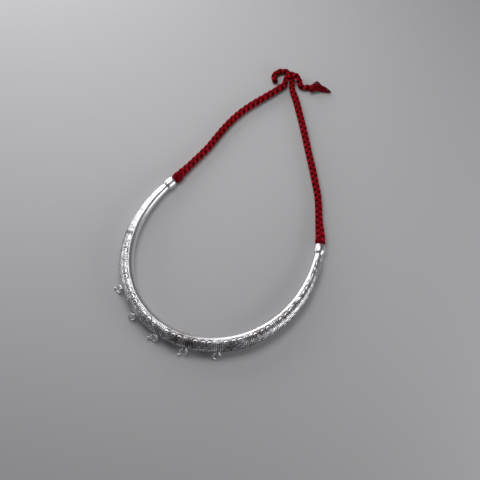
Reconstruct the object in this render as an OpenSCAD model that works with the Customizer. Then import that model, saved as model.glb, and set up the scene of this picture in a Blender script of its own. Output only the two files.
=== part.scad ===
// Rigid neck collar of the hasli kind: a hollow silver tube bent to a horseshoe, thick round the front and tapering
// to a bead at each end, with five loops on its front edge and a red braided cord knotted behind.
// It lies on a flat surface, open end away from the viewer. Millimetres throughout, +Z up, the front towards -Y.

/* [Collar line] */
// Bend radius of the tube's centreline at the middle of the front
bend_r = 62.5; // [61:0.5:64]
// How fast the bend eases towards the ends (share of the bend lost at one bend radius along)
ease_2 = 0.139; // [0.135:0.001:0.143]
// How much of that easing comes back near the ends
ease_4 = 0.010; // [0.008:0.001:0.012]
// Length along the centreline from the middle of the front to the tube's tip
tip_at = 140; // [138:0.5:142]
// Angle by which the thicker front lifts the collar's plane off the surface
lie_angle = 0.8; // [0.7:0.05:0.9]

/* [Tube] */
// Outside diameter round the front
front_d = 10.5; // [10:0.1:11]
// Outside diameter at the tips
tip_d = 6.8; // [6.6:0.1:7.2]
// Length along the centreline at which the taper starts
taper_at = 50; // [40:1:60]
// Thickness of the silver sheet
wall = 0.8; // [0.7:0.05:0.8]

/* [End beads] */
// Width of the groove between the tip and the bead
groove_w = 1.6; // [1.2:0.1:2]
// Diameter at the bottom of the groove
groove_d = 6.3; // [6.2:0.1:6.5]
// Largest diameter of the bead
bead_d = 8.4; // [8:0.1:8.6]
// Length of the bead
bead_l = 7.2; // [6.8:0.1:7.6]
// Diameter of the hole that the cord comes out of
mouth_d = 5.2; // [5:0.1:5.2]

/* [Loops] */
// Distance between neighbouring loops along the centreline
loop_pitch = 21; // [20.5:0.1:21.5]
// Place of the middle loop along the centreline, from the middle of the front
loop_middle = -9; // [-10:0.5:-8]
// How far below the tube's widest line the loops are soldered
loop_drop = 12; // [10:1:14]
// Wire of a soldered loop
loop_wire = 1.0; // [0.9:0.05:1]
// Radius of a soldered loop, to the middle of its wire
loop_r = 1.65; // [1.6:0.05:1.7]
// Distance from the tube's centreline to the middle of a soldered loop
loop_out = 6.2; // [6.1:0.05:6.3]
// Wire of an open ring that hangs in a soldered loop
ring_wire = 1.1; // [1:0.05:1.1]
// Radius of an open ring, to the middle of its wire
ring_r = 2.5; // [2.4:0.05:2.5]
// Ball on the outside of some open rings
ball_d = 1.9; // [1.6:0.1:2]
// Distance from the middle of an open ring's wire to the middle of its ball
ball_out = 1.7; // [1.5:0.1:1.9]

/* [Cord] */
// Number of flats round the cord's plain tube
cord_sides = 10; // [8:1:12]

/* [Hidden] */

$fn = 32;
tube_sides = 20;
tube_steps = 22;
walk_step = 1;
// From the middle of the front, on the centreline, to the middle of the box round the collar and its rings
origin_y = 51;
// Thickness of the neck between a ring's wire and its ball
ball_neck = 0.9;

// One row for each loop: how its open ring hangs (roll, dip and swing in degrees), the middle and the width of the
// ring's opening in degrees round it, and where its ball sits round it (-1 for none) and how far that is bent out
// of the ring's plane. The soldered loop is at 180.
ROLL = 0;
DIP = 1;
SWING = 2;
OPEN_AT = 3;
OPEN = 4;
BALL_AT = 5;
BALL_BEND = 6;
rings = [
    [-37, 40, -44, 120, 10, 355, 40],
    [-43, 41, -18, 145, 40, -1, 0],
    [-46, 38, -46, 250, 10, 325, 15],
    [-53, 41, -50, 215, 35, 340, 25],
    [-47, 40, -48, 215, 35, -1, 0]
];
// How far round the tube's own line the soldered loops are turned, so that the rings can swing
loop_skew = 14;

// Routes of the cord, one row for each point: place and the cord's diameter there
cord_left_route = [
    [-62.9, 54.4, 4.2, 4.6],
    [-61.1, 60, 4.1, 4.7],
    [-60.4, 61.7, 3.9, 5.8],
    [-59.8, 64.6, 3.6, 6.8],
    [-58.5, 70.7, 3.2, 6],
    [-56.7, 78.1, 2.8, 5.4],
    [-55, 85.5, 2.6, 5.2],
    [-53.2, 92.9, 2.6, 5.2],
    [-51.6, 100.8, 2.6, 5.2],
    [-50.7, 108.8, 2.6, 5.2],
    [-49.7, 116.7, 2.6, 5.2],
    [-48.4, 124.6, 2.6, 5.2],
    [-46.6, 132.5, 2.6, 5.2],
    [-44.2, 139.9, 2.6, 5.2],
    [-41.2, 147.3, 2.6, 5.2],
    [-37.6, 154.7, 2.6, 5.2],
    [-33.7, 162.1, 2.6, 5.2],
    [-30.1, 169, 2.6, 5.2],
    [-27.1, 175.9, 2.6, 5]
];
cord_right_route = [
    [62.9, 54.4, 4.2, 4.6],
    [61.1, 60, 4.15, 4.7],
    [60.6, 61.8, 4.1, 6.4],
    [59.2, 64.9, 3.9, 7.4],
    [56.8, 69.4, 3.5, 6.6],
    [53.3, 75.7, 3, 5.8],
    [49.5, 83, 2.7, 5.3],
    [45.5, 91, 2.6, 5.2],
    [41, 98.9, 2.6, 5.2],
    [35.6, 106.8, 2.6, 5.2],
    [30.1, 114.7, 2.6, 5.2],
    [24.3, 122.6, 2.6, 5.2],
    [18.5, 130.5, 2.6, 5.2],
    [12.8, 138.4, 2.6, 5.2],
    [7, 146.3, 2.6, 5.2],
    [1.1, 154.2, 2.6, 5.2],
    [-4.9, 161.9, 2.6, 5.2],
    [-10.8, 169.4, 2.6, 5.2],
    [-16.1, 175.3, 2.6, 5]
];
// The left cord's way over the knot and its frayed end on the right
knot_over_route = [
    [-26.9, 176.3, 2.6, 4.9],
    [-26.2, 177.9, 2.7, 4.6],
    [-25.8, 180.3, 3.4, 4.4],
    [-26.3, 183.8, 4.9, 4.2],
    [-25.5, 187, 6.3, 4.2],
    [-22.7, 188.6, 7, 4.2],
    [-19.1, 188.4, 6.4, 4.2],
    [-16.3, 186.6, 4.6, 4.2],
    [-14.3, 184.3, 3, 4.2],
    [-11.3, 183.8, 2.2, 4.2],
    [-8.1, 185.5, 2.1, 4.2],
    [-4.8, 187.7, 2.1, 4.2],
    [-1.4, 188.7, 2, 4],
    [2.4, 189.1, 1.5, 2.6],
    [7.4, 190.3, 1, 1.4]
];
// The right cord's way under it and its curled end on the left
knot_under_route = [
    [-16.3, 175.6, 2.6, 4.9],
    [-17.6, 177.1, 2.6, 4.6],
    [-19.4, 179.6, 2.3, 4.2],
    [-21.5, 184.2, 2.1, 4.2],
    [-23.9, 188.1, 2.1, 4.2],
    [-26.6, 190.7, 2.5, 4.2],
    [-30.4, 191.3, 2.8, 4.2],
    [-34.2, 189.9, 2.6, 4.2],
    [-36.6, 186.5, 2.3, 4.2],
    [-36.6, 182.6, 2.1, 4.2],
    [-34, 179.2, 2.1, 4]
];

groove_at = tip_at + groove_w / 2;
bead_at = tip_at + groove_w;
bead_turn = 150;
line_end = bead_at + bead_l;

// Direction of the centreline, in degrees from +X, at a length along it
function heading(s) =
    let (t = s / bend_r)
    (t - ease_2 * pow(t, 3) / 3 + ease_4 * pow(t, 5) / 5) * 180 / PI;

// The right half of the centreline, walked in short steps
walk = [
    for (s = 0, p = [0, 0]; s <= line_end + walk_step;
         p = p + walk_step * [cos(heading(s + walk_step / 2)), sin(heading(s + walk_step / 2))], s = s + walk_step)
    [s, p.x, p.y]
];
walk_x = [for (w = walk) [w[0], w[1]]];
walk_y = [for (w = walk) [w[0], w[2]]];
function line_at(s) = [sign(s) * lookup(abs(s), walk_x), lookup(abs(s), walk_y), 0];

// Outside radius of the tube at a length along the centreline
function tube_r(s) =
    let (past = max(0, s - taper_at) / (tip_at - taper_at))
    (front_d - (front_d - tip_d) * past * past) / 2;

// Stations of the right half: length along the centreline, outside radius, inside radius
tube_stations = [
    for (i = [0 : tube_steps])
    let (s = tip_at * i / tube_steps)
    [s, tube_r(s), tube_r(s) - wall]
];
bead_stations = [
    for (a = [0 : 25 : bead_turn])
    [
        bead_at + bead_l * (1 - cos(a)) / (1 - cos(bead_turn)),
        (groove_d + (bead_d - groove_d) * sin(a)) / 2,
        mouth_d / 2
    ]
];
half_stations = concat(tube_stations, [[groove_at, groove_d / 2, mouth_d / 2]], bead_stations);
last_station = len(half_stations) - 1;
stations = concat(
    [for (i = [last_station : -1 : 1]) [-half_stations[i][0], half_stations[i][1], half_stations[i][2]]],
    half_stations
);

// Height of the centreline's front, so that the collar's lowest points touch the surface
rest_z = max([for (st = half_stations) line_at(st[0]).y * sin(lie_angle) + st[1] * cos(lie_angle)]);

function unit(v) = v / norm(v);
function place(p) = [p.x, p.y, p.z];

// Ring of points round the collar's centreline
function collar_ring(s, r) =
    let (h = heading(s), out = [sin(h), -cos(h), 0])
    [for (a = [0 : 360 / tube_sides : 359]) line_at(s) + r * (cos(a) * out + sin(a) * [0, 0, 1])];

// Ring of points round a cord's route at its point i
function cord_ring(route, i) =
    let (
        ahead = place(route[min(i + 1, len(route) - 1)]),
        behind = place(route[max(i - 1, 0)]),
        along = unit(ahead - behind),
        side = unit(cross(along, [0, 0, 1])),
        up = cross(side, along),
        r = route[i][3] / 2
    )
    [for (a = [0 : 360 / cord_sides : 359]) place(route[i]) + r * (cos(a) * side + sin(a) * up)];

// Skin over a row of rings with equal numbers of points, closed by flat ends, or round into a loop
module skin(skin_rings, looped = false) {
    n = len(skin_rings[0]);
    m = len(skin_rings);
    spans = looped ? m : m - 1;
    sides = [
        for (i = [0 : spans - 1], j = [0 : n - 1])
        let (a = i * n + j, b = i * n + (j + 1) % n, c = ((i + 1) % m) * n + (j + 1) % n, d = ((i + 1) % m) * n + j)
        each [[a, b, c], [a, c, d]]
    ];
    ends = looped ? [] : [[for (j = [n - 1 : -1 : 0]) j], [for (j = [0 : n - 1]) (m - 1) * n + j]];
    polyhedron([for (r = skin_rings) each r], concat(sides, ends));
}

// Lays what is drawn about the collar's flat centreline on the surface
module laid() {
    translate([0, -origin_y, rest_z]) rotate([-lie_angle, 0, 0]) children();
}

// Puts X outwards and Y along the tube at the middle of soldered loop k
module at_loop(k) {
    s = loop_middle + (k - 2) * loop_pitch;
    translate(line_at(s))
        rotate([0, 0, heading(s) - 90])
            translate([loop_out * cos(loop_drop), 0, -loop_out * sin(loop_drop)])
                children();
}

module soldered_loop() {
    rotate([0, loop_drop, 0])
        rotate([90 - loop_skew, 0, 0])
            rotate_extrude() translate([loop_r, 0]) circle(d = loop_wire);
}

module collar() {
    color("silver")
        laid()
            union() {
                skin(concat(
                    [for (st = stations) collar_ring(st[0], st[1])],
                    [for (i = [len(stations) - 1 : -1 : 0]) collar_ring(stations[i][0], stations[i][2])]
                ), looped = true);
                for (k = [0 : 4]) at_loop(k) soldered_loop();
            }
}

// Ball on its short neck, from the wire of a ring whose centre is at 0, bent up from the ring's plane
module ball(bend) {
    translate([ring_r, 0, 0])
        rotate([0, -bend, 0]) {
            translate([ball_out, 0, 0]) sphere(d = ball_d);
            rotate([0, 90, 0]) cylinder(d = ball_neck, h = ball_out);
        }
}

module jump_ring(k) {
    r = rings[k];
    color("gainsboro")
        laid()
            at_loop(k)
                rotate([r[ROLL], r[DIP], r[SWING]])
                    translate([ring_r, 0, 0]) {
                        rotate([0, 0, r[OPEN_AT] + r[OPEN] / 2])
                            rotate_extrude(angle = 360 - r[OPEN]) translate([ring_r, 0]) circle(d = ring_wire);
                        if (r[BALL_AT] >= 0)
                            rotate([0, 0, r[BALL_AT]])
                                ball(r[BALL_BEND]);
                    }
}

module cord_tube(route) {
    color("crimson") skin([for (i = [0 : len(route) - 1]) cord_ring(route, i)]);
}

module knot() {
    cord_tube(knot_over_route);
    cord_tube(knot_under_route);
}

collar();
jump_ring(0);  // jump_ring_1
jump_ring(1);  // jump_ring_2
jump_ring(2);  // jump_ring_3
jump_ring(3);  // jump_ring_4
jump_ring(4);  // jump_ring_5
cord_tube(cord_left_route);  // cord_left
cord_tube(cord_right_route);  // cord_right
knot();
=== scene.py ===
import math

import bpy
import numpy as np
from mathutils import Matrix, Vector


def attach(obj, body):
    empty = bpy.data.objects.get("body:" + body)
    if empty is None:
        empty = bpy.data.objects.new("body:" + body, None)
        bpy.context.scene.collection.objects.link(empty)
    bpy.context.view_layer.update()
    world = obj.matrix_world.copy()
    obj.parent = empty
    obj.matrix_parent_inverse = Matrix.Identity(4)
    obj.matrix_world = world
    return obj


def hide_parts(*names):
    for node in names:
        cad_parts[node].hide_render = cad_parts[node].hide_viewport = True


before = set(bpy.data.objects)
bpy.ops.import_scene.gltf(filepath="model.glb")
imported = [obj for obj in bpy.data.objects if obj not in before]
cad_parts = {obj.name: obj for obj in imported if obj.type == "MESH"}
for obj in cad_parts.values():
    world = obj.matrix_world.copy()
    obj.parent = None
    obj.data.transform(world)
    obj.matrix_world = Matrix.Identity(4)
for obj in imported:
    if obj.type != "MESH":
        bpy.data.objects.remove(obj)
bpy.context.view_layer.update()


# The tube: silver sheet bent and soldered into a hollow horseshoe, 10.5 mm thick round the front
# and tapering to the ends. Bands and oval scrolls are chased into its top and outer side and
# blackened in their lines; the inner side and the underside are plain.
class Link:
    """An output socket in a Python expression: each operation on it adds its Math node."""

    def __init__(self, net, socket):
        self.net = net
        self.socket = socket

    def of(self, name):
        """Another output of the same node."""
        return Link(self.net, self.socket.node.outputs[name])

    def math(self, operation, *others):
        sockets = dict(enumerate((self, *others)))
        return self.net.add("ShaderNodeMath", {"operation": operation}, sockets)

    def vector(self, operation, *others):
        sockets = dict(enumerate((self, *others)))
        return self.net.add("ShaderNodeVectorMath", {"operation": operation}, sockets)

    def scaled(self, size):
        """A vector made longer or shorter."""
        sockets = {0: self, "Scale": size}
        return self.net.add("ShaderNodeVectorMath", {"operation": "SCALE"}, sockets)

    def parts(self):
        """The three numbers of a vector."""
        first = self.net.add("ShaderNodeSeparateXYZ", None, {0: self})
        return first, first.of("Y"), first.of("Z")

    def __add__(self, other):
        return self.math("ADD", other)

    def __radd__(self, other):
        return self.math("ADD", other)

    def __sub__(self, other):
        return self.math("SUBTRACT", other)

    def __rsub__(self, other):
        return self.math("MULTIPLY_ADD", -1.0, other)

    def __mul__(self, other):
        return self.math("MULTIPLY", other)

    def __rmul__(self, other):
        return self.math("MULTIPLY", other)

    def __truediv__(self, other):
        return self.math("DIVIDE", other)

    def __abs__(self):
        return self.math("ABSOLUTE")

    def sin(self):
        return self.math("SINE")

    def cos(self):
        return self.math("COSINE")

    def fract(self):
        return self.math("FRACT")

    def floor(self):
        return self.math("FLOOR")

    def least(self, other):
        return self.math("MINIMUM", other)

    def most(self, other):
        return self.math("MAXIMUM", other)

    def between(self, low, high):
        """0 below low, 1 above high, and smooth between them."""
        sockets = {"Value": self, "From Min": low, "From Max": high}
        return self.net.add("ShaderNodeMapRange", {"interpolation_type": "SMOOTHSTEP"}, sockets)

    def under(self, low, high):
        """1 below low, 0 above high, and smooth between them."""
        return 1.0 - self.between(low, high)

    def lines(self, pitch, width):
        """1 on lines that repeat at a pitch, 0 between them."""
        away = abs((self / pitch).fract() - 0.5) * pitch
        return (pitch / 2 - away).under(width * 0.25, width * 0.75)


class Net:
    """A node tree that is filled by expressions on Links."""

    def __init__(self, tree):
        self.tree = tree

    def add(self, kind, settings=None, sockets=None):
        """Adds a node: its settings first, then its sockets' values or links, by name or number."""
        node = self.tree.nodes.new(kind)
        for name, value in (settings or {}).items():
            if name == "capture":
                for item, form in value.items():
                    node.capture_items.new(form, item)
            else:
                setattr(node, name, value)
        for name, value in (sockets or {}).items():
            socket = node.inputs[name]
            if isinstance(value, Link):
                self.tree.links.new(value.socket, socket)
            elif socket.type == "RGBA" and len(value) == 3:
                socket.default_value = (*value, 1)
            else:
                socket.default_value = value
        return Link(self, node.outputs[0]) if node.outputs else node

    def blend(self, share, first, second):
        """A colour mixed from two."""
        mixed = self.add("ShaderNodeMix", {"data_type": "RGBA"}, {0: share, 6: first, 7: second})
        return Link(self, mixed.socket.node.outputs[2])

    def noise(self, place, size, detail):
        sockets = {"Vector": place, "Scale": size, "Detail": float(detail), "Roughness": 0.6}
        return self.add("ShaderNodeTexNoise", None, sockets)

    def surface(self, sockets):
        """The material's shader, with the values or links of its sockets."""
        shader = self.add("ShaderNodeBsdfPrincipled", None, sockets)
        self.add("ShaderNodeOutputMaterial", None, {"Surface": shader})


class Maker(Net):
    """A Geometry Nodes tree with named inputs, which makes a finished piece from a base mesh."""

    def __init__(self, name, **inputs):
        super().__init__(bpy.data.node_groups.new(name, "GeometryNodeTree"))
        for in_out in ("INPUT", "OUTPUT"):
            self.tree.interface.new_socket(
                "Geometry", in_out=in_out, socket_type="NodeSocketGeometry")
        for label, kind in inputs.items():
            self.tree.interface.new_socket(label, in_out="INPUT", socket_type="NodeSocket" + kind)
        self.start = self.add("NodeGroupInput")

    def named(self, name, kind="FLOAT"):
        """A value that is stored on the shape's points."""
        return self.add("GeometryNodeInputNamedAttribute", {"data_type": kind}, {"Name": name})

    def keep(self, shape, name, value, kind="FLOAT"):
        """Stores a value on the shape's points for its material."""
        sockets = {"Geometry": shape, "Name": name, "Value": value}
        return self.add("GeometryNodeStoreNamedAttribute", {"data_type": kind}, sockets)

    def circle(self, sides, radius=1.0):
        """The section that a curve's mesh is drawn with."""
        sockets = {"Resolution": sides, "Radius": radius}
        return self.add("GeometryNodeCurvePrimitiveCircle", None, sockets)

    def drawn(self, line, section, thick):
        """A closed solid along a curve, as thick as each of its points says."""
        sockets = {"Curve": line, "Profile Curve": section, "Scale": thick, "Fill Caps": True}
        return self.add("GeometryNodeCurveToMesh", None, sockets)

    def join(self, shapes):
        joined = self.tree.nodes.new("GeometryNodeJoinGeometry")
        for shape in reversed(shapes):
            self.tree.links.new(shape.socket, joined.inputs[0])
        return Link(self, joined.outputs[0])

    def end(self, shape):
        """Closes the tree: smooth faces, instances realized, and the material set."""
        shape = self.add("GeometryNodeSetShadeSmooth", None, {"Geometry": shape})
        shape = self.add("GeometryNodeRealizeInstances", None, {"Geometry": shape})
        sockets = {"Geometry": shape, "Material": self.start.of("Material")}
        shape = self.add("GeometryNodeSetMaterial", None, sockets)
        self.add("NodeGroupOutput", None, {0: shape})

    def make(self, name, base, **values):
        """Runs the tree on a base mesh and returns the finished piece as a plain mesh."""
        source = bpy.data.objects.new(name + "_base", base)
        bpy.context.scene.collection.objects.link(source)
        modifier = source.modifiers.new(name, "NODES")
        modifier.node_group = self.tree
        for item in self.tree.interface.items_tree:
            if item.in_out == "INPUT" and item.name in values:
                modifier[item.identifier] = values[item.name]
        graph = bpy.context.evaluated_depsgraph_get()
        mesh = bpy.data.meshes.new_from_object(source.evaluated_get(graph))
        bpy.data.objects.remove(source)
        piece = bpy.data.objects.new(name, mesh)
        bpy.context.scene.collection.objects.link(piece)
        return piece


def ride(piece, node=None):
    """Fixes a finished piece to the collar, and lets it stand for its solid."""
    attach(piece, "root")
    if node:
        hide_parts(node)


full_turn = 2 * math.pi
bend = 0.0625
ease = (0.139, 0.010)
lie = Matrix.Rotation(math.radians(-0.8), 3, "X")
front_middle = Vector((0, -0.051, 0.00569))
line_l, line_step = 0.16, 0.0001


def heading(s):
    """Direction of the collar's line, in radians from +X, at a length along it from its middle."""
    t = s / bend
    return t - ease[0] * t**3 / 3 + ease[1] * t**5 / 5


line_s = np.arange(0, line_l, line_step)
line_xy = np.cumsum([(math.cos(heading(s)) * line_step, math.sin(heading(s)) * line_step)
                     for s in line_s + line_step / 2], axis=0)
line_xy = np.vstack([(0, 0), line_xy[:-1]])


def line_at(s):
    """The place on the collar's line, and there the ways along, outwards and up."""
    x = math.copysign(float(np.interp(abs(s), line_s, line_xy[:, 0])), s)
    y = float(np.interp(abs(s), line_s, line_xy[:, 1]))
    turn = heading(s)
    along_line = lie @ Vector((math.cos(turn), math.sin(turn), 0))
    out = lie @ Vector((math.sin(turn), -math.cos(turn), 0))
    return front_middle + lie @ Vector((x, y, 0)), along_line, out, lie @ Vector((0, 0, 1))


def skin(name, stations, turns):
    """A base mesh round the collar's line over stations of (s, r), with closed ends and a chart."""
    mesh = bpy.data.meshes.new(name)
    count = len(turns)
    points, chart, faces = [], [], []
    for s, r in stations:
        place, along_line, out, up = line_at(s)
        points += [place + r * (math.cos(a) * up + math.sin(a) * out) for a in turns]
        chart += [(math.cos(a), math.sin(a), s * 1000) for a in turns]
    for i in range(len(stations) - 1):
        for j in range(count):
            k = (j + 1) % count
            faces.append((i * count + j, i * count + k, (i + 1) * count + k, (i + 1) * count + j))
    last = (len(stations) - 1) * count
    faces.append(tuple(range(count))[::-1])
    faces.append(tuple(range(last, last + count)))
    mesh.from_pydata(points, [], faces)
    flat = np.array(chart, np.float32).ravel()
    mesh.attributes.new("chart", "FLOAT_VECTOR", "POINT").data.foreach_set("vector", flat)
    return mesh


# The pattern's sizes in mm: rows run along the tube, and each row repeats from loop to loop
pattern_r = 5.25
row_from, row_w = -1.6, 6.1
repeat, repeat_from = 21.0, -9.0
band_from, band_depth = 7.25, 0.9
ridge_from, ridge_pitch, ridge_w = 7.9, 1.3, 0.62
beads_from, beads_pitch, beads_w = 9.2, 1.15, 0.55
scroll_pitch, scroll_l, scroll_w, scroll_turns = 4.9, 2.25, 2.45, 1.5
leaf_pitch, leaf_w = 1.5, 0.55
hem_from, hem_line, hem_pitch, hem_w = 2.6, 2.62, 0.62, 0.30
field_inner, field_outer, field_end = -1.9, 14.8, 137.5
faint_at, sharp_at, faint_share = -112.0, -84.0, 0.35


def chasing(chart, place):
    """The chased pattern at a place: its cut lines, its swelling, its dark ground, its field."""
    cosine, sine, run = chart.parts()
    across = sine.math("ARCTAN2", cosine) * pattern_r
    row = ((across - row_from) / row_w).floor()
    y = across - row_from - row * row_w - row_w / 2
    x = ((run - repeat_from) / repeat).fract() * repeat - repeat / 2
    side = abs(x)
    # Bands of plain and beaded ridges, one at each loop
    band = side.between(band_from, band_from + 0.15)
    free = 1.0 - band
    ridges = (side + ridge_pitch / 2 - ridge_from).lines(ridge_pitch, ridge_w)
    beads = across.lines(beads_pitch, beads_w) * side.between(beads_from, beads_from + 0.1)
    banded = ridges.most(beads) * band * band_depth
    # Three oval scrolls between two bands, coiled to either hand in turn, with leaves round them
    cell = (x / scroll_pitch + 0.5).floor().least(1.0).most(-1.0)
    hand = (cell * math.pi).cos() * (row * math.pi).cos()
    dx = (x - cell * scroll_pitch) / scroll_l
    dy = y / scroll_w
    q = (dx * dx + dy * dy).math("SQRT")
    angle = dy.math("ARCTAN2", dx * hand)
    coil = abs((q * scroll_turns - angle / full_turn).fract() - 0.5)
    coil = coil.under(0.08, 0.22) * q.between(0.10, 0.20) * q.under(0.90, 0.98)
    eye = q.under(0.16, 0.30)
    rim = abs(q - 1.03).under(0.05, 0.15)
    leaves = (abs(dx) * 2.0 + abs(y) * 1.1).lines(leaf_pitch, leaf_w) * q.between(1.08, 1.14)
    scrolls = coil.most(eye).most(rim).most(leaves) * free
    scrolls = scrolls * abs(y).under(hem_from - 0.05, hem_from + 0.05)
    # A plain line along both sides of each row
    hem = (abs(y) - hem_line).lines(hem_pitch, hem_w)
    hem = hem * abs(y).between(hem_from, hem_from + 0.1) * free
    field = across.between(field_inner, field_inner + 0.3)
    field = field * across.under(field_outer - 0.6, field_outer)
    field = field * run.between(-field_end, 2.0 - field_end) * run.under(field_end - 2.0, field_end)
    # Towards the left arm's tip the pattern and its dark lines fade to a faint trace
    field = field * (run.between(faint_at, sharp_at) * (1.0 - faint_share) + faint_share)
    wear = place.net.noise(place, 150.0, 2).between(0.28, 0.50)
    cut = banded.most(scrolls).most(hem) * field * (wear * 0.6 + 0.4)
    swell = (1.0 - q * q).most(0.0) * free * field
    ground = q.between(0.95, 1.05).least(free) * field
    return cut, swell, ground, field


def chasing_maker():
    """Cuts the chased pattern into the tube's skin, with the dents of its making."""
    net = Maker("chasing", Depth="Float", Swell="Float", Dents="Float", Material="Material")
    place = net.add("GeometryNodeInputPosition")
    cut, swell, ground, field = chasing(net.named("chart", "FLOAT_VECTOR"), place)
    dents = (net.noise(place, 45.0, 2) - 0.5) * net.start.of("Dents")
    lift = dents + swell * net.start.of("Swell") - cut * net.start.of("Depth")
    shift = net.add("GeometryNodeInputNormal").scaled(lift)
    net.end(net.add("GeometryNodeSetPosition", None, {"Geometry": net.start, "Offset": shift}))
    return net


def new_material(name):
    """An empty material, and the net that fills it."""
    material = bpy.data.materials.new(name)
    material.use_nodes = True
    material.node_tree.nodes.clear()
    return material, Net(material.node_tree)


polished, warm_grey, tarnish = (0.81, 0.80, 0.83), (0.64, 0.57, 0.53), (0.045, 0.042, 0.047)


def silver(name, chased, age=0.0):
    """Old silver: burnished where hands rub it, cloudy grey elsewhere, black in the cut lines."""
    material, net = new_material(name)
    place = net.add("ShaderNodeTexCoord").of("Object")
    cloud = net.noise(place, 260.0, 5)
    grain = net.noise(place, 1800.0, 3)
    broad = net.noise(place, 55.0, 2)
    stain = (cloud - 0.5) * 1.1 + broad.between(0.50, 0.72) * 0.25 + age
    relief = cloud * 0.5 + grain * 0.5
    if chased:
        chart = net.add("ShaderNodeAttribute", {"attribute_name": "chart"}).of("Vector")
        cut, swell, ground, field = chasing(chart, place)
        stain = stain + cut * 0.50 + ground * 0.05 + field * 0.14
        relief = relief * 0.5 - cut * 0.8
    stain = stain.between(0.10, 0.80)
    clean = net.blend(broad.between(0.52, 0.70) * 0.5, polished, warm_grey)
    bump = {"Height": relief, "Distance": 0.0001, "Strength": 0.55}
    net.surface({
        "Base Color": net.blend(stain, clean, tarnish),
        "Metallic": 1.0,
        "Roughness": stain * 0.18 + grain * 0.12 + 0.25,
        "Normal": net.add("ShaderNodeBump", None, bump),
    })
    return material


front_r, tip_r, taper_at, tip_at = 0.00525, 0.0034, 0.050, 0.140


def tube_r(s):
    past = max(0.0, abs(s) - taper_at) / (tip_at - taper_at)
    return front_r - (front_r - tip_r) * past**2


chased_silver = silver("chased_silver", True)
# The chased side gets most of the points round the tube
chased_from, chased_to = math.radians(-22), math.radians(160)
chased_side = np.linspace(chased_from, chased_to, 80, False)
plain_side = np.linspace(chased_to, chased_from + full_turn, 30, False)
turns = np.concatenate([chased_side, plain_side]).tolist()
stations = [(s, tube_r(s)) for s in np.linspace(-tip_at, tip_at, 850).tolist()]
tube = chasing_maker().make(
    "collar_tube", skin("tube", stations, turns),
    Depth=0.00012, Swell=0.00002, Dents=0.00022, Material=chased_silver)
ride(tube, "collar")


# The end beads: a narrow groove and then a bulged bead with a hole, spun from the same silver and
# soldered to each tip; the cord comes out of the hole.
groove_r, bead_r, mouth_r = 0.00315, 0.0042, 0.0026
bead_at, bead_l, bead_turn = 0.1416, 0.0072, math.radians(150)
shoulder, groove_dip, lip_step = 0.0004, 0.00005, 0.0001


def bead_stations(side):
    """Stations of a bead on one side (-1 or 1): its groove, its bulge, its lip and its hole."""
    rows = [(tip_at - shoulder, groove_r), (tip_at + shoulder, groove_r - groove_dip)]
    for a in np.linspace(0, bead_turn, 28).tolist():
        s = bead_at + bead_l * (1 - math.cos(a)) / (1 - math.cos(bead_turn))
        rows.append((s, groove_r + (bead_r - groove_r) * math.sin(a)))
    end, end_r = rows[-1]
    rows += [
        (end + lip_step, end_r - 3 * lip_step),
        (end + lip_step, mouth_r + 2 * lip_step),
        (end - lip_step, mouth_r),
        (bead_at, mouth_r),
    ]
    return [(side * s, r) for s, r in rows][::side]


def plain_maker():
    """Sets the finish on a base that needs no other work."""
    net = Maker("plain", Material="Material")
    net.end(net.start)
    return net


plain = plain_maker()
burnished_silver = silver("burnished_silver", False)
bead_turns = np.linspace(0, full_turn, 64, False).tolist()
for side, name in ((-1, "bead_left"), (1, "bead_right")):
    bead_base = skin(name, bead_stations(side), bead_turns)
    ride(plain.make(name, bead_base, Material=burnished_silver))


# The five soldered loops and the open rings that hang in them: silver wire, bent round a mandrel.
# The loops stand on the tube's lower outer side; the rings have swung aside and lie on the surface.
def strings(name, lines):
    """A base mesh of loose strings; each point is its place, radius, and its outer side's way."""
    mesh = bpy.data.meshes.new(name)
    rows = [tuple(place) + (radius,) + tuple(ray) for line in lines for place, radius, ray in line]
    rows = np.array(rows, np.float32)
    starts = np.cumsum([0] + [len(line) for line in lines])
    edges = [(k, k + 1) for start, end in zip(starts, starts[1:]) for k in range(start, end - 1)]
    mesh.from_pydata(rows[:, :3].tolist(), edges, [])
    mesh.attributes.new("thick", "FLOAT", "POINT").data.foreach_set("value", rows[:, 3])
    rays = mesh.attributes.new("ray", "FLOAT_VECTOR", "POINT")
    rays.data.foreach_set("vector", rows[:, 4:].ravel())
    return mesh


def wire_maker():
    """Round wire along loose strings of points, as thick as each point says, with closed ends."""
    net = Maker("wire", Sides="Int", Material="Material")
    line = net.add("GeometryNodeMeshToCurve", None, {"Mesh": net.start})
    net.end(net.drawn(line, net.circle(net.start.of("Sides")), net.named("thick")))
    return net


wire = wire_maker()
dull_wire = silver("dull_wire", False, 0.05)
upwards = (0, 0, 1)
loop_pitch, loop_middle, loop_out = 0.021, -0.009, 0.0062
loop_drop, loop_skew = math.radians(12), math.radians(14)
loop_r, loop_wire_r, solder_fill = 0.00165, 0.0005, 0.00035


def at_loop(k):
    """Frame of soldered loop k: X outwards, Y along the tube, at the loop's middle."""
    place, along_line, out, up = line_at(loop_middle + (k - 2) * loop_pitch)
    middle = place + loop_out * (math.cos(loop_drop) * out - math.sin(loop_drop) * up)
    return Matrix.Translation(middle) @ Matrix((out, along_line, up)).transposed().to_4x4()


def turned(degrees, axis):
    return Matrix.Rotation(math.radians(degrees), 4, axis)


def arc(pose, r, turns):
    return [pose @ Vector((r * math.cos(a), r * math.sin(a), 0)) for a in turns]


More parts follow.
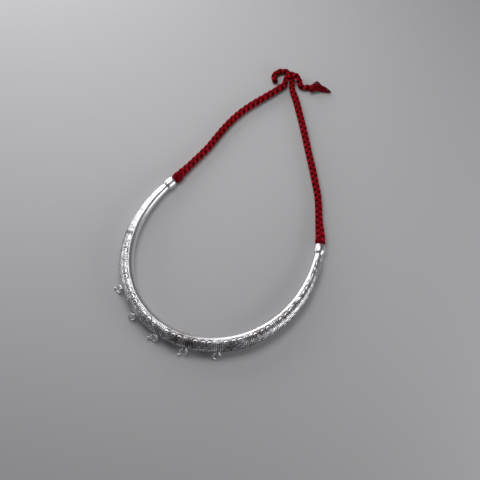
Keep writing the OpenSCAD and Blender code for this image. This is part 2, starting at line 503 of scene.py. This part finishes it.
# Solder has filled the foot of each loop, where it meets the tube
around = np.linspace(-math.pi, math.pi, 49).tolist()
feet = [loop_wire_r + solder_fill * max(0, -math.cos(a)) ** 6 for a in around]
across_tube = Matrix.Rotation(loop_drop, 4, "Y") @ Matrix.Rotation(math.pi / 2 - loop_skew, 4, "X")
loops = []
for k in range(5):
    bent = arc(at_loop(k) @ across_tube, loop_r, around)
    loops.append([(place, r, upwards) for place, r in zip(bent, feet)])
soldered = wire.make("soldered_loops", strings("loops", loops), Sides=14, Material=dull_wire)
ride(soldered)

# One row for each ring, in degrees: roll, dip and swing, the middle and width of its opening, and
# where its ball sits and how far it is bent up (None where there is no ball)
rings = [
    (-37, 40, -44, 120, 10, 355, 40),
    (-43, 41, -18, 145, 40, None, 0),
    (-46, 38, -46, 250, 10, 325, 15),
    (-53, 41, -50, 215, 35, 340, 25),
    (-47, 40, -48, 215, 35, None, 0),
]
ring_r, ring_wire_r, ring_points = 0.0025, 0.00055, 61
ball_r, ball_out, neck_r, point_r = 0.00095, 0.0017, 0.00045, 0.00001
to_rim = Matrix.Translation((ring_r, 0, 0))
# The cut ends of the wire are rounded
cut_ends = [ring_wire_r * min(1.0, 0.72 + 0.14 * min(i, ring_points - 1 - i))
            for i in range(ring_points)]
for k, (roll, dip, swing, open_at, opening, ball_at, ball_bend) in enumerate(rings):
    pose = at_loop(k) @ (turned(swing, "Z") @ turned(dip, "Y")) @ turned(roll, "X") @ to_rim
    first, last = open_at + opening / 2, open_at - opening / 2 + 360
    around = np.radians(np.linspace(first, last, ring_points)).tolist()
    parts = [[(place, r, upwards) for place, r in zip(arc(pose, ring_r, around), cut_ends)]]
    if ball_at is not None:
        stem = pose @ turned(ball_at, "Z") @ to_rim @ turned(-ball_bend, "Y")
        ball = []
        for x in np.linspace(0, ball_out + ball_r, 33).tolist():
            swell = max(0.0, ball_r**2 - (x - ball_out) ** 2) ** 0.5
            r = max(swell, neck_r if x < ball_out else point_r)
            ball.append((stem @ Vector((x, 0, 0)), r, upwards))
        parts.append(ball)
    hung = wire.make(f"open_ring_{k + 1}", strings("ring", parts), Sides=14, Material=dull_wire)
    ride(hung, f"jump_ring_{k + 1}")


# The cords: a round braid of four yarns in crimson cotton, 5.2 mm thick where it is tight and
# plumper where it is loose. One comes out of each bead's hole and lies loosely up to the knot.
yarn_section = (0.84, 1.08, 1)
yarn_reach, weave_reach = 0.50, 0.13
# The core's weave value is painted shade: it paints the core nearly black.
core_r, core_painted_shade = 0.42, -2.0
# The threads' weave value is painted light: they are painted as lit as a yarn that rides over.
thread_painted_light = 0.3


def spin(net, line, thick, ray, weave):
    """A yarn along a curve: plump, with its outer side facing along ray, charted for its plies and
    for the painted light on its outer side, and keeping its weave for the painted shade where it
    dives.
    """
    section = net.circle(net.start.of("Sides"))
    section = net.add("GeometryNodeTransform", None, {"Geometry": section, "Scale": yarn_section})
    factor = net.add("GeometryNodeSplineParameter").of("Factor")
    section = net.add(
        "GeometryNodeCaptureAttribute", {"capture": {"round": "FLOAT"}},
        {"Geometry": section, "round": factor})
    run = net.add("GeometryNodeSplineParameter").of("Length")
    kept = net.add(
        "GeometryNodeCaptureAttribute", {"capture": {"run": "FLOAT", "weave": "FLOAT"}},
        {"Geometry": line, "run": run, "weave": weave})
    line = net.add("GeometryNodeSetCurveNormal", {"mode": "FREE"}, {"Curve": kept, "Normal": ray})
    yarn = net.drawn(line, section, thick)
    around = section.of("round") * full_turn
    sockets = {0: around.cos(), 1: around.sin(), 2: kept.of("run")}
    chart = net.add("ShaderNodeCombineXYZ", None, sockets)
    yarn = net.keep(yarn, "yarn", chart, "FLOAT_VECTOR")
    return net.keep(yarn, "weave", kept.of("weave"))


def braid_maker():
    """Four yarns plaited round a line: two wind each way, each over one and under the next."""
    net = Maker(
        "braid", Stitch="Float", Yarn="Float", Roll="Float", Lay="Float", Sides="Int",
        Material="Material")
    line = net.add("GeometryNodeMeshToCurve", None, {"Mesh": net.start})
    phase = net.named("phase")
    thick = net.named("thick")
    tangent = net.add("GeometryNodeInputTangent")
    side = tangent.vector("CROSS_PRODUCT", upwards).vector("NORMALIZE")
    up = side.vector("CROSS_PRODUCT", tangent)
    turn = phase * math.pi / net.start.of("Stitch")
    yarns = []
    for hand, start in ((1, 0), (-1, 0), (1, math.pi), (-1, math.pi)):
        angle = hand * turn + start + net.start.of("Roll") + phase * net.start.of("Lay")
        # The weave is the yarn's height in the plait, from diving under (-1) to riding over (1): it
        # sets the yarn's reach, and the material paints shade where it dives and light where it
        # rides over.
        weave = (turn * 2.0).cos() * hand
        ray = side.scaled(angle.cos()).vector("ADD", up.scaled(angle.sin()))
        kept = net.add(
            "GeometryNodeCaptureAttribute", {"capture": {"ray": "VECTOR", "weave": "FLOAT"}},
            {"Geometry": line, "ray": ray, "weave": weave})
        reach = thick * (kept.of("weave") * weave_reach + yarn_reach)
        sockets = {"Geometry": kept, "Offset": kept.of("ray").scaled(reach)}
        yarn = net.add("GeometryNodeSetPosition", None, sockets)
        yarn_r = thick * net.start.of("Yarn")
        yarns.append(spin(net, yarn, yarn_r, kept.of("ray"), kept.of("weave")))
    # A core keeps daylight out of the gaps; its colour is painted shade, nearly black.
    core = net.drawn(line, net.circle(8, core_r), thick)
    yarns.append(net.keep(core, "weave", core_painted_shade))
    net.end(net.join(yarns))
    return net


# Colours of the yarn's painted light: the two dark reds are painted shade for its inner sides and
# gaps, the two crimsons a painted highlight on its tops, varying at random in tone.
deep_shade_red, shade_red = (0.012, 0.0001, 0.0004), (0.13, 0.0006, 0.0022)
crimson, bright_crimson = (0.50, 0.0060, 0.018), (0.68, 0.0100, 0.028)
plies_round, plies_along = 7.0, 3000.0


def crimson_yarn():
    """Soft cotton yarn of fine plies, with painted light: a painted highlight in crimson on the
    yarns' tops, and painted shade, nearly black red, on their inner sides and where they dive.
    """
    material, net = new_material("crimson_yarn")
    place = net.add("ShaderNodeTexCoord").of("Object")
    chart = net.add("ShaderNodeAttribute", {"attribute_name": "yarn"}).of("Vector")
    outer, round_side, run = chart.parts()
    weave = net.add("ShaderNodeAttribute", {"attribute_name": "weave"}).of("Fac")
    around = round_side.math("ARCTAN2", outer)
    plies = (around * plies_round + run * plies_along).sin() * 0.5 + 0.5
    fluff = net.noise(place, 2400.0, 3)
    patch = net.noise(place, 90.0, 2).between(0.35, 0.65)
    # Painted light: lighter on each yarn's outer side and where it rides over, darker on its inner
    # side and where it dives; the plies and the fluff vary it too.
    light = outer * 0.60 + 0.20 + weave * 0.24 + (plies - 0.5) * 0.26 + (fluff - 0.5) * 0.40
    shade = net.blend(light.between(0.05, 0.75), deep_shade_red, shade_red)
    painted_highlight = net.blend(patch, crimson, bright_crimson)
    bump = {"Height": plies * 0.7 + fluff * 0.6, "Distance": 0.00022, "Strength": 1.0}
    net.surface({
        "Base Color": net.blend(light.between(0.62, 1.22), shade, painted_highlight),
        "Roughness": 0.75,
        "Specular IOR Level": 0.06,
        "Sheen Weight": 0.02,
        "Sheen Roughness": 0.4,
        "Sheen Tint": (1, 0.25, 0.3),
        "Normal": net.add("ShaderNodeBump", None, bump),
    })
    return material


row_step = 0.0004


def lengths(rows):
    """The length along rows of places up to each of them."""
    return np.concatenate([[0], np.cumsum(np.linalg.norm(np.diff(rows[:, :3], axis=0), axis=1))])


def smooth(route):
    """The smooth line through a route, as even rows of place and diameter, and its length."""
    points = np.array(route, float)
    points = np.vstack([2 * points[0] - points[1], points, 2 * points[-1] - points[-2]])
    rows = []
    for a, b, c, d in zip(points, points[1:], points[2:], points[3:]):
        for t in np.linspace(0, 1, 16, endpoint=False):
            rows.append(0.5 * (2 * b + (c - a) * t + (2 * a - 5 * b + 4 * c - d) * t**2
                               + (3 * b - a - 3 * c + d) * t**3))
    rows = np.array(rows + [points[-2]])
    run = lengths(rows)
    even = np.linspace(0, run[-1], round(run[-1] / row_step) + 1)
    return np.stack([np.interp(even, run, rows[:, k]) for k in range(4)], axis=1), float(run[-1])


def plump_up(rows, over, shares):
    """Makes a cord plumper over a stretch of its rows, and lets all of it lie on the surface."""
    rows[:, 3] *= np.interp(np.arange(len(rows)), over, shares)
    rows[:, 2] = np.maximum(rows[:, 2], rows[:, 3] * lying_share)


def braided(name, lines, roll):
    """Braid along lines; each is its rows and the length of cord that comes before it."""
    flat = [[(row[:3], row[3] / 2, upwards) for row in rows] for rows, before in lines]
    base = strings(name, flat)
    phase = np.concatenate([before + lengths(rows) for rows, before in lines]).astype(np.float32)
    base.attributes.new("phase", "FLOAT", "POINT").data.foreach_set("value", phase)
    return braid.make(
        name, base, Stitch=0.0048, Yarn=0.465, Roll=roll, Lay=1.0, Sides=12, Material=red_yarn)


# Places in metres, and the cord's thickness there; the first rows stand in the bead
left_route = [
    (-0.0629, 0.0544, 0.0042, 0.0046), (-0.0611, 0.06, 0.0041, 0.0047),
    (-0.0604, 0.0617, 0.0039, 0.0058), (-0.0598, 0.0646, 0.0036, 0.0068),
    (-0.0585, 0.0707, 0.0032, 0.006), (-0.0567, 0.0781, 0.0028, 0.0054),
    (-0.055, 0.0855, 0.0026, 0.0052), (-0.0532, 0.0929, 0.0026, 0.0052),
    (-0.0516, 0.1008, 0.0026, 0.0052), (-0.0507, 0.1088, 0.0026, 0.0052),
    (-0.0497, 0.1167, 0.0026, 0.0052), (-0.0484, 0.1246, 0.0026, 0.0052),
    (-0.0466, 0.1325, 0.0026, 0.0052), (-0.0442, 0.1399, 0.0026, 0.0052),
    (-0.0412, 0.1473, 0.0026, 0.0052), (-0.0376, 0.1547, 0.0026, 0.0052),
    (-0.0337, 0.1621, 0.0026, 0.0052), (-0.0301, 0.169, 0.0026, 0.0052),
    (-0.0271, 0.1759, 0.0026, 0.005),
]
right_route = [
    (0.0629, 0.0544, 0.0042, 0.0046), (0.0611, 0.06, 0.00415, 0.0047),
    (0.0606, 0.0618, 0.0041, 0.0064), (0.0592, 0.0649, 0.0039, 0.0074),
    (0.0568, 0.0694, 0.0035, 0.0066), (0.0533, 0.0757, 0.003, 0.0058),
    (0.0495, 0.083, 0.0027, 0.0053), (0.0455, 0.091, 0.0026, 0.0052),
    (0.041, 0.0989, 0.0026, 0.0052), (0.0356, 0.1068, 0.0026, 0.0052),
    (0.0301, 0.1147, 0.0026, 0.0052), (0.0243, 0.1226, 0.0026, 0.0052),
    (0.0185, 0.1305, 0.0026, 0.0052), (0.0128, 0.1384, 0.0026, 0.0052),
    (0.007, 0.1463, 0.0026, 0.0052), (0.0011, 0.1542, 0.0026, 0.0052),
    (-0.0049, 0.1619, 0.0026, 0.0052), (-0.0108, 0.1694, 0.0026, 0.0052),
    (-0.0161, 0.1753, 0.0026, 0.005),
]
cord_plump, lying_share = 1.14, 0.51
braid = braid_maker()
red_yarn = crimson_yarn()
left_rows, left_length = smooth(left_route)
right_rows, right_length = smooth(right_route)
# Past its binding each cord is loosely worked and plumper
for rows in (left_rows, right_rows):
    plump_up(rows, (15, 40), (1.0, cord_plump))
cord_left = braided("cord_left_braid", [(left_rows, 0.0)], 0.55)
cord_right = braided("cord_right_braid", [(right_rows, 0.0)], 0.8)


# The bindings: one thread of the same cotton, wound close over each cord where it leaves its bead,
# so that it swells there and can't slip back through the hole.
def thread_maker():
    """Single threads along loose strings of points, painted as lit as a yarn that rides over."""
    net = Maker("threads", Sides="Int", Material="Material")
    line = net.add("GeometryNodeMeshToCurve", None, {"Mesh": net.start})
    net.end(spin(net, line, net.named("thick"), net.named("ray", "FLOAT_VECTOR"), thread_painted_light))
    return net


def row_at(rows, at):
    """The values of rows at a place between two of them."""
    return [float(np.interp(at, np.arange(len(rows)), rows[:, k])) for k in range(rows.shape[1])]


points_a_turn, skew_turn, thinning, sunk = 20, 0.8, 0.16, 0.4


def wound(rows, start, end, turns, thread_r, skew):
    """One thread wound round a cord between two lengths, skewed so that its turns slant."""
    thread = []
    tangents = np.gradient(rows[:, :3], axis=0)
    step = np.linalg.norm(tangents[0])
    for u in np.linspace(0, 1, turns * points_a_turn + 1):
        a = u * turns * full_turn
        at = (start + (end - start) * u + skew * math.cos(a - skew_turn)) / step
        x, y, z, thick = row_at(rows, at)
        tangent = Vector(row_at(tangents, at)).normalized()
        side = tangent.cross(Vector(upwards)).normalized()
        ray = side * math.cos(a) + side.cross(tangent) * math.sin(a)
        cord_r = thick / 2 * (1.0 - thinning * abs(2 * u - 1) ** 3)
        thread.append((Vector((x, y, z)) + ray * (cord_r - thread_r * sunk), thread_r, ray))
    return thread


threads = thread_maker()
left_turns = wound(left_rows, start=0.0058, end=0.0135, turns=11, thread_r=0.00046, skew=0.0012)
right_turns = wound(right_rows, start=0.006, end=0.0105, turns=6, thread_r=0.00052, skew=-0.0014)
for name, turns in (("left_binding", left_turns), ("right_binding", right_turns)):
    ride(threads.make(name, strings("binding", [turns]), Sides=8, Material=red_yarn))

# The knot: the left cord arches over the right one, and their free ends lie on the surface. The
# left one goes over to a frayed end on the right, the right one under to a curled end on the left.
over_route = [
    (-0.0269, 0.1763, 0.0026, 0.0049), (-0.0262, 0.1779, 0.0027, 0.0046),
    (-0.0258, 0.1803, 0.0034, 0.0044), (-0.0263, 0.1838, 0.0049, 0.0042),
    (-0.0255, 0.187, 0.0063, 0.0042), (-0.0227, 0.1886, 0.007, 0.0042),
    (-0.0191, 0.1884, 0.0064, 0.0042), (-0.0163, 0.1866, 0.0046, 0.0042),
    (-0.0143, 0.1843, 0.003, 0.0042), (-0.0113, 0.1838, 0.0023, 0.0042),
    (-0.0082, 0.1852, 0.0023, 0.0042), (-0.0050, 0.1872, 0.0023, 0.0042),
    (-0.0020, 0.1888, 0.0023, 0.004), (0.0020, 0.1896, 0.0019, 0.003),
    (0.0062, 0.1898, 0.0014, 0.002), (0.0104, 0.1906, 0.001, 0.0014),
]
under_route = [
    (-0.0163, 0.1756, 0.0026, 0.0049), (-0.0176, 0.1771, 0.0026, 0.0046),
    (-0.0194, 0.1796, 0.0023, 0.0042), (-0.0215, 0.1842, 0.0021, 0.0042),
    (-0.0239, 0.1881, 0.0021, 0.0042), (-0.0266, 0.1907, 0.0025, 0.0042),
    (-0.0304, 0.1913, 0.0028, 0.0042), (-0.0342, 0.1899, 0.0026, 0.0042),
    (-0.0366, 0.1865, 0.0023, 0.0042), (-0.0366, 0.1826, 0.0021, 0.0042),
    (-0.034, 0.1792, 0.0021, 0.004),
]
knot_plump, fray_x = 1.2, -0.0044
over_rows = smooth([left_route[-1]] + over_route[1:])[0]
under_rows = smooth([right_route[-1]] + under_route[1:])[0]
# The passes are worked loosely, so their braid is plumper than the cords'
for rows in (over_rows, under_rows):
    plump_up(rows, (0, 14), (cord_plump, knot_plump))
fray_from = next(k for k, row in enumerate(over_rows) if row[0] > fray_x)
passes = [(over_rows[:fray_from], left_length), (under_rows, right_length)]
knot = braided("knot_passes", passes, 0.67)
ride(knot, "knot")

# The frayed end: here the left cord's braid has come undone, and its soft cotton threads stand open
# and then run to a point. Nothing binds them.
fray_threads, fray_r, fray_lift, fray_low, fray_wave = 64, 0.00042, 0.0004, 0.0005, 0.00035
tuft_at, tuft_r = (0, 0.13, 0.50, 0.75, 1), (0.0017, 0.0058, 0.0027, 0.0018, 0.0004)
shake = np.random.default_rng(5)
fray = []
tuft = over_rows[fray_from - 6:]
for k in range(fray_threads):
    a = shake.uniform(0, full_turn)
    reach = math.sqrt(shake.uniform(0.02, 1))
    stop = shake.uniform(0.60, 1.0)
    ray = Vector((0, math.cos(a), 0.4 + abs(math.sin(a))))
    thread = []
    for u in np.linspace(0, stop, 16):
        place = Vector(row_at(tuft, u * (len(tuft) - 1))[:3])
        open_r = float(np.interp(u, tuft_at, tuft_r))
        way = Vector((0.25 * math.sin(a), math.cos(a), 0.55 * math.sin(a))) * reach * open_r
        wave = Vector((0, 1, 0.4)) * fray_wave * math.sin(9 * u + a * 3) * reach
        place = place + way + wave
        place.z = max(place.z + fray_lift, fray_low)
        thread.append((place, fray_r * (1 - 0.6 * (u / stop) ** 3), ray))
    fray.append(thread)
ride(threads.make("frayed_end", strings("fray", fray), Sides=7, Material=red_yarn))

# The cut end: the right cord is cut off at the end of its curl, and short threads of the same
# cotton stick out of the cut.
cut_count, cut_r, cut_spread, cut_sunk = 26, 0.00034, 0.0016, 0.0008
cut_out, cut_droop, cut_low = (0.0006, 0.0022), 0.0004, 0.0004
cut_threads = []
end, before_end = Vector(under_rows[-1][:3]), Vector(under_rows[-4][:3])
forward = (end - before_end).normalized()
across_end = forward.cross(Vector(upwards)).normalized()
for k in range(cut_count):
    a = shake.uniform(0, full_turn)
    reach = math.sqrt(shake.uniform(0, 1)) * cut_spread
    out_by = shake.uniform(*cut_out)
    ray = across_end * math.cos(a) + Vector(upwards) * math.sin(a)
    thread = []
    for u in np.linspace(0, 1, 6):
        spread = ray * reach * (1 + 0.25 * u * u)
        place = end - forward * cut_sunk + spread + forward * (cut_sunk + out_by) * float(u)
        place.z = max(place.z - cut_droop * u * u, cut_low)
        thread.append((place, cut_r * (1 - 0.5 * u), ray))
    cut_threads.append(thread)
ride(threads.make("cut_end", strings("cut", cut_threads), Sides=7, Material=red_yarn))

# Each cord runs from its bead to the knot; it is fixed to the collar in place of its solid.
for cord, node, rows, length, mouth in (
    (cord_left, "cord_left", left_rows, left_length, left_route[1]),
    (cord_right, "cord_right", right_rows, right_length, right_route[1]),
):
    ride(cord, node)


# The set: a pale matt floor, soft lights overhead and behind on the left, low ones on both sides
# and a dim room.
def pale_floor():
    material, net = new_material("pale_floor")
    net.surface({"Base Color": (0.54, 0.54, 0.55), "Roughness": 0.9})
    return material


floor_reach = 3
floor_mesh = bpy.data.meshes.new("floor")
corners = [(floor_reach * x, floor_reach * y, 0) for x, y in ((-1, -1), (1, -1), (1, 1), (-1, 1))]
floor_mesh.from_pydata(corners, [], [(0, 1, 2, 3)])
floor_mesh.materials.append(pale_floor())
floor = bpy.data.objects.new("floor", floor_mesh)
bpy.context.scene.collection.objects.link(floor)
lit_place = Vector((0, 0.02, 0))


def soft_light(name, place, size, power):
    """A rectangle of light that faces the collar; size in metres, power in watts."""
    lamp = bpy.data.lights.new(name, "AREA")
    lamp.shape = "RECTANGLE"
    lamp.size, lamp.size_y = size
    lamp.energy = power
    thing = bpy.data.objects.new(name, lamp)
    aim = (lit_place - Vector(place)).to_track_quat("-Z", "Y")
    thing.matrix_world = Matrix.Translation(place) @ aim.to_matrix().to_4x4()
    bpy.context.scene.collection.objects.link(thing)


soft_light("top_softbox", (-0.13, 0.15, 0.40), (0.37, 0.26), 0.85)
soft_light("back_softbox", (-0.36, 0.34, 0.15), (0.34, 0.28), 0.85)
soft_light("left_strip", (-0.55, -0.05, 0.14), (0.5, 0.14), 0.6)
soft_light("right_softbox", (0.50, 0.06, 0.14), (0.40, 0.24), 1.0)
room = bpy.data.worlds.new("room")
room.use_nodes = True
room.node_tree.nodes["Background"].inputs["Color"].default_value = (0.10, 0.10, 0.105, 1)
bpy.context.scene.world = room
bpy.context.scene.view_settings.view_transform = "Standard"

# The view: a 75 mm lens, high above the front and a little to its right, looking down on the flat
# collar. It was found in the plane of the collar's line, so it shares that plane's tilt.
azimuth, elevation = math.radians(27.2), math.radians(61.3)
view_right = Vector((math.cos(azimuth), math.sin(azimuth), 0))
view_back = Vector((
    math.sin(azimuth) * math.cos(elevation),
    -math.cos(azimuth) * math.cos(elevation),
    math.sin(elevation),
))
view_up = view_back.cross(view_right)
camera_data = bpy.data.cameras.new("camera")
camera_data.lens = 75
camera_data.sensor_width = 36
camera = bpy.data.objects.new("camera", camera_data)
axes = Matrix((lie @ view_right, lie @ view_up, lie @ view_back)).transposed()
# Its stand, counted in bends of the collar's line
to_right, to_up, to_back = 0.75, 1.06, 11.11
stand = lie @ (to_right * view_right + to_up * view_up + to_back * view_back) * bend
camera.matrix_world = Matrix.Translation(front_middle + stand) @ axes.to_4x4()
bpy.context.scene.collection.objects.link(camera)
bpy.context.scene.camera = camera
